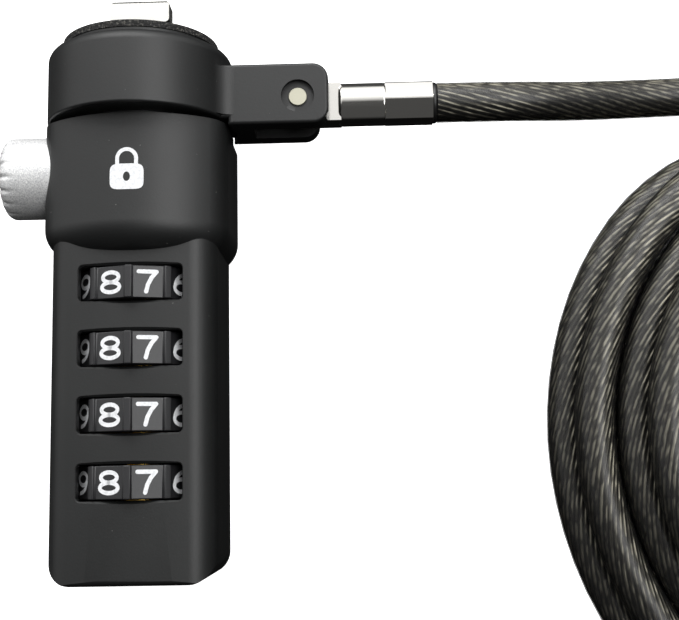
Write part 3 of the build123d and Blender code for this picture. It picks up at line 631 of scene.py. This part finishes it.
class LOCK_OT_body(bpy.types.Operator):
    """Dresses the painted housing, the collar and the parts at the nose and the back"""
    bl_idname = "cable_lock.body"
    bl_label = "Housing, collar and nose"

    def execute(self, context):
        settings = context.scene.lock_sizes
        edge = settings.edge
        paint = soft_touch_paint(tuple(settings.paint_dark), tuple(settings.paint_pale))
        steel = polished_metal("black_oxide_steel", "#55565a", 0.4)
        nickel = polished_metal("nickel_plate", "#d9d8d3", 0.22)
        dressed_copy("housing", "painted_housing", paint, "housing", bevel=edge)
        dressed_copy("collar", "painted_collar", paint, "collar", bevel=edge)
        dressed_copy("nose_cap", "painted_nose", paint, "housing", bevel=0.1 * MM)
        dressed_copy("rear_cover", "painted_cover", paint, "housing", bevel=0.1 * MM)
        dressed_copy("pad", "foam_pad", speckled_foam(), "housing")
        dressed_copy("tbar", "nickel_tbar", nickel, "tbar", bevel=0.12 * MM)
        dressed_copy("guard_plate", "nickel_guard", nickel, "housing", bevel=0.08 * MM)
        dressed_copy("end_plug", "nickel_plug", nickel, "housing", bevel=0.1 * MM)
        for node in ("cover_screws", "cap_screws"):
            paint_node(node, steel)
        self.padlock_sign()
        return {"FINISHED"}

    def padlock_sign(self):
        """A plain printed padlock: a square plate with rounded corners round a keyhole, and a bow over it.

        The plate's edge is the curve |x|^5 + |y|^5 = 1, and the bow is half a ring on two short legs. Lengths
        are in millimetres.
        """
        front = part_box("housing")[1][2] / MM
        middle = (0.0, -15.8)
        round_turn = np.linspace(0, 2 * math.pi, 49)
        cosine, sine = np.cos(round_turn), np.sin(round_turn)
        size = (np.abs(cosine) ** 5 + np.abs(sine) ** 5) ** (-1 / 5)
        plate = np.stack([1.75 * size * cosine, 1.35 * size * sine - 0.9], axis=1)
        keyhole = np.stack([0.36 * cosine, 0.5 * sine - 0.9], axis=1)
        half_turn = np.linspace(0, math.pi, 25)
        arch = np.stack([np.cos(half_turn), np.sin(half_turn)], axis=1)
        inner = np.concatenate([[[0.78, -0.6]], 0.78 * arch, [[-0.78, -0.6]]]) + [0, 1.0]
        outer = np.concatenate([[[1.18, -0.6]], 1.18 * arch, [[-1.18, -0.6]]]) + [0, 1.0]
        sheets, quads, start = [], [], 0
        for inside, outside in ((keyhole, plate), (inner, outer)):
            across = np.linspace(0, 1, 7)[None, :, None]
            sheet = inside[:, None] * (1 - across) + outside[:, None] * across
            quads.append(grid_quads(*sheet.shape[:2], wrap_columns=False)[:, ::-1] + start)
            sheets.append(sheet.reshape(-1, 2))
            start += len(sheets[-1])
        flat = np.concatenate(sheets) + middle
        # the head's front is a round arch: its height falls from the middle by r - sqrt(r^2 - x^2), and at
        # half its width it has come down to 3.6 mm
        half_wide, drop = 9.85, front - 3.6
        arch_r = (half_wide ** 2 + drop ** 2) / (2 * drop)
        fall = arch_r - np.sqrt(arch_r ** 2 - flat[:, 0] ** 2)
        film = 0.02
        points = np.column_stack([flat, front - fall + film]) * MM
        mesh_piece("padlock_sign", points, np.concatenate(quads), number_ink(), "housing")


def arc(middle_x, middle_y, half_wide, half_high, first, last):
    """Points of an ellipse's arc between two angles in degrees, in a box one wide and one high."""
    count = max(4, round(abs(last - first) / 9))
    angle = np.radians(np.linspace(first, last, count))
    return np.stack([middle_x + half_wide * np.cos(angle), middle_y + half_high * np.sin(angle)], axis=1)


def bar(*corners):
    """Points of straight runs between corners, close together so that a ribbon on them stays even."""
    corners = np.array(corners, dtype=float)
    along = np.linspace(0, len(corners) - 1, 8 * (len(corners) - 1) + 1)
    return np.stack([np.interp(along, np.arange(len(corners)), corners[:, axis]) for axis in (0, 1)], axis=1)


def digit_strokes():
    """The pen strokes of the digits 0 to 9 in turn, in a box one wide and one high about its middle."""
    return [
        [arc(0, 0, 0.46, 0.5, 0, 360)],
        [bar((0.05, 0.5), (0.05, -0.5)), bar((0.05, 0.5), (-0.22, 0.3))],
        [arc(0, 0.22, 0.44, 0.28, 165, -35), bar((0.36, 0.06), (-0.45, -0.5)),
         bar((-0.45, -0.5), (0.46, -0.5))],
        [arc(-0.02, 0.25, 0.4, 0.25, 150, -90), arc(-0.02, -0.25, 0.46, 0.25, 90, -150)],
        [bar((0.2, -0.5), (0.2, 0.5)), bar((0.2, 0.5), (-0.46, -0.2)), bar((-0.46, -0.2), (0.46, -0.2))],
        [bar((0.38, 0.5), (-0.34, 0.5)), bar((-0.34, 0.5), (-0.4, 0.06)),
         arc(-0.02, -0.19, 0.46, 0.31, 146, -150)],
        [arc(0, -0.2, 0.46, 0.3, 0, 360), arc(0.36, -0.16, 0.8, 0.66, 180, 96)],
        [bar((-0.44, 0.5), (0.41, 0.5)), arc(1.6, -0.75, 1.7, 1.75, 134.4, 172)],
        [arc(0, 0.25, 0.42, 0.25, -90, 270), arc(0, -0.25, 0.47, 0.25, 90, 450)],
        [arc(0, 0.2, 0.46, 0.3, 0, 360), arc(-0.36, 0.16, 0.8, 0.66, 0, -84)],
    ]


class LOCK_OT_dials(bpy.types.Operator):
    """Dresses the four dials and prints their numbers"""
    bl_idname = "cable_lock.dials"
    bl_label = "Dials and numbers"

    def execute(self, context):
        settings = context.scene.lock_sizes
        plastic = moulded_black("moulded_abs", tuple(settings.dial), 0.42)
        ink = number_ink()
        shapes = [self.number_shape(strokes, settings) for strokes in digit_strokes()]
        for index in range(DIALS):
            name = f"dial_{index + 1}"
            dressed_copy(name, f"number_{name}", plastic, name, bevel=0.1 * MM, sharp=20)
            self.print_numbers(name, shapes, ink)
        return {"FINISHED"}

    def number_shape(self, strokes, settings):
        """One digit as points and quads: each stroke is a ribbon of even width with round ends.

        Across a stroke the ribbon is the pen's path moved sideways by half a width. Past each end the half
        width is h sqrt(1 - t^2), where t runs from 0 to 1 over half a width, which rounds the end off.
        """
        half = 0.5 * settings.stroke
        size = np.array([settings.number_wide - settings.stroke, settings.number_high - settings.stroke])
        points, quads, start = [], [], 0
        for stroke in strokes:
            path = np.array(stroke) * size
            ahead = np.gradient(path, axis=0)
            ahead /= np.linalg.norm(ahead, axis=1)[:, None]
            past = np.sin(np.linspace(0, math.pi / 2, 6))[1:]
            path = np.concatenate([path[0] - half * past[::-1, None] * ahead[0], path,
                                   path[-1] + half * past[:, None] * ahead[-1]])
            ends = len(past)
            ahead = np.concatenate(
                [np.repeat(ahead[:1], ends, axis=0), ahead, np.repeat(ahead[-1:], ends, axis=0)])
            narrowing = np.sqrt(1 - past ** 2)
            wide = np.concatenate([narrowing[::-1], np.ones(len(stroke)), narrowing])
            side = half * wide[:, None] * np.stack([-ahead[:, 1], ahead[:, 0]], axis=1)
            ribbon = path[:, None] + np.linspace(1, -1, 5)[None, :, None] * side[:, None]
            points.append(ribbon.reshape(-1, 2))
            quads.append(grid_quads(*ribbon.shape[:2], wrap_columns=False) + start)
            start += len(points[-1])
        # each stroke lies a hair above the one before, so that no two lie in one plane where they cross
        lift = np.repeat(0.02 + 0.004 * np.arange(len(points)), [len(part) for part in points]) * MM
        return np.column_stack([np.concatenate(points), lift]), np.concatenate(quads)

    def print_numbers(self, name, shapes, ink):
        """The digits stand on the dial's flat faces, each a tenth of a turn from the last."""
        low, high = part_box(name)
        flat = DIAL_CORNER * math.cos(FACE_STEP / 2)
        middle = (low[1] + high[1]) / 2
        points, quads, start = [], [], 0
        for place in range(DIAL_FACES):
            shape, own = shapes[(TOP_NUMBER - place) % DIAL_FACES]
            angle = FACE_STEP / 2 + place * FACE_STEP
            out = np.array([math.sin(angle), 0, math.cos(angle)])
            across = np.array([math.cos(angle), 0, -math.sin(angle)])
            where = shape[:, :1] * across + shape[:, 1:2] * [0, 1, 0] + (shape[:, 2:] + flat) * out
            points.append(where + [0, middle, 0])
            quads.append(own + start)
            start += len(shape)
        mesh_piece(f"{name}_numbers", np.concatenate(points), np.concatenate(quads), ink, name)


class LOCK_OT_button(bpy.types.Operator):
    """Makes the sand-blasted button with the notches round its end"""
    bl_idname = "cable_lock.button"
    bl_label = "Button"

    def execute(self, context):
        notches = context.scene.lock_sizes.notches
        notch_long, notch_deep = 1.3 * MM, 0.3 * MM
        low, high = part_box("button")
        radius = (high[1] - low[1]) / 2
        middle = (high[1] + low[1]) / 2
        # profile from the centre of the outer face, over its rounded rim, along the side to the inner end
        round_by = 1.0 * MM
        turn = np.linspace(0, math.pi / 2, 9)
        face_x = np.full(5, low[0])
        face_r = np.linspace(0.02, 1.0, 5) * (radius - round_by)
        rim_x = low[0] + round_by * (1 - np.cos(turn))[1:]
        rim_r = radius - round_by + round_by * np.sin(turn)[1:]
        side_x = np.linspace(low[0] + round_by, high[0], 12)[1:]
        side_r = np.full(11, radius)
        profile_x = np.concatenate([face_x, rim_x, side_x])
        profile_r = np.concatenate([face_r, rim_r, side_r])
        around = np.linspace(0, 2 * math.pi, 10 * notches, endpoint=False)
        # a notch is a shallow scoop across the rim: it starts at 0.72 of the radius, is deepest near the face
        # and is gone 1.3 mm along the side
        along_side = np.clip(1 - (profile_x - low[0]) / notch_long, 0, 1) ** 0.5
        reach = along_side * np.clip((profile_r - 0.72 * radius) / (0.1 * radius), 0, 1)
        scoop = np.clip(np.cos(notches * around) * 2 - 1, 0, 1)
        ring = profile_r[:, None] - notch_deep * reach[:, None] * scoop[None, :]
        points = np.stack([np.broadcast_to(profile_x[:, None], ring.shape),
                           middle + ring * np.cos(around), ring * np.sin(around)], axis=-1)
        quads = grid_quads(*ring.shape)
        piece = mesh_piece("blasted_button", points, quads, sandblasted_nickel(), "button")
        work = bmesh.new()
        work.from_mesh(piece.data)
        open_edges = [edge for edge in work.edges if edge.is_boundary]
        bmesh.ops.holes_fill(work, edges=open_edges)
        bmesh.ops.recalc_face_normals(work, faces=work.faces)
        work.to_mesh(piece.data)
        work.free()
        piece.data.set_sharp_from_angle(angle=math.radians(50))
        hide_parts("button")
        return {"FINISHED"}


class LOCK_OT_works(bpy.types.Operator):
    """Gives the parts inside the lock their metals"""
    bl_idname = "cable_lock.works"
    bl_label = "Inner parts"

    def execute(self, context):
        brass = polished_metal("turned_brass", "#b8964f", 0.3)
        spring = polished_metal("spring_steel", "#a9abad", 0.3)
        plate = polished_metal("zinc_plated_steel", "#b5b8bb", 0.35)
        for node in ["locking_bar", "code_sleeve", "drive_pinion", "reset_screw"]:
            paint_node(node, brass)
        for index in range(DIALS):
            paint_node(f"code_ring_{index + 1}", brass)
        for node in ["button_spring", "bar_spring", "detent_spring", "spindle_clip"]:
            paint_node(node, spring)
        paint_node("button_slide", plate)
        return {"FINISHED"}


class LOCK_PT_panel(bpy.types.Panel):
    """Shows the lock's settings and its building steps in the sidebar"""
    bl_idname = "LOCK_PT_panel"
    bl_label = "Cable Lock"
    bl_space_type = "VIEW_3D"
    bl_region_type = "UI"
    bl_category = "Cable Lock"

    def draw(self, context):
        for settings in (context.scene.lock_cable, context.scene.lock_sizes, context.scene.lock_stage):
            for key in settings.bl_rna.properties.keys():
                if key not in {"rna_type", "name"}:
                    self.layout.prop(settings, key)
        for operator in OPERATORS:
            self.layout.operator(operator.bl_idname)


SETTINGS = {"lock_cable": CableSettings, "lock_sizes": LockSettings, "lock_stage": StageSettings}
OPERATORS = (LOCK_OT_stage, LOCK_OT_cable, LOCK_OT_terminal, LOCK_OT_body, LOCK_OT_dials, LOCK_OT_button,
             LOCK_OT_works)


def register():
    """Registers the classes and puts their settings on the scene."""
    for group in (*SETTINGS.values(), *OPERATORS, LOCK_PT_panel):
        bpy.utils.register_class(group)
    for name, group in SETTINGS.items():
        setattr(bpy.types.Scene, name, bpy.props.PointerProperty(type=group))


def unregister():
    """Takes the settings and the classes away again."""
    for name in SETTINGS:
        delattr(bpy.types.Scene, name)
    for group in reversed((*SETTINGS.values(), *OPERATORS, LOCK_PT_panel)):
        bpy.utils.unregister_class(group)


def main():
    """Builds the lock piece by piece."""
    register()
    bpy.ops.cable_lock.stage()
    bpy.ops.cable_lock.cable()
    bpy.ops.cable_lock.terminal()
    bpy.ops.cable_lock.body()
    bpy.ops.cable_lock.dials()
    bpy.ops.cable_lock.button()
    bpy.ops.cable_lock.works()


if __name__ == "__main__":
    main()
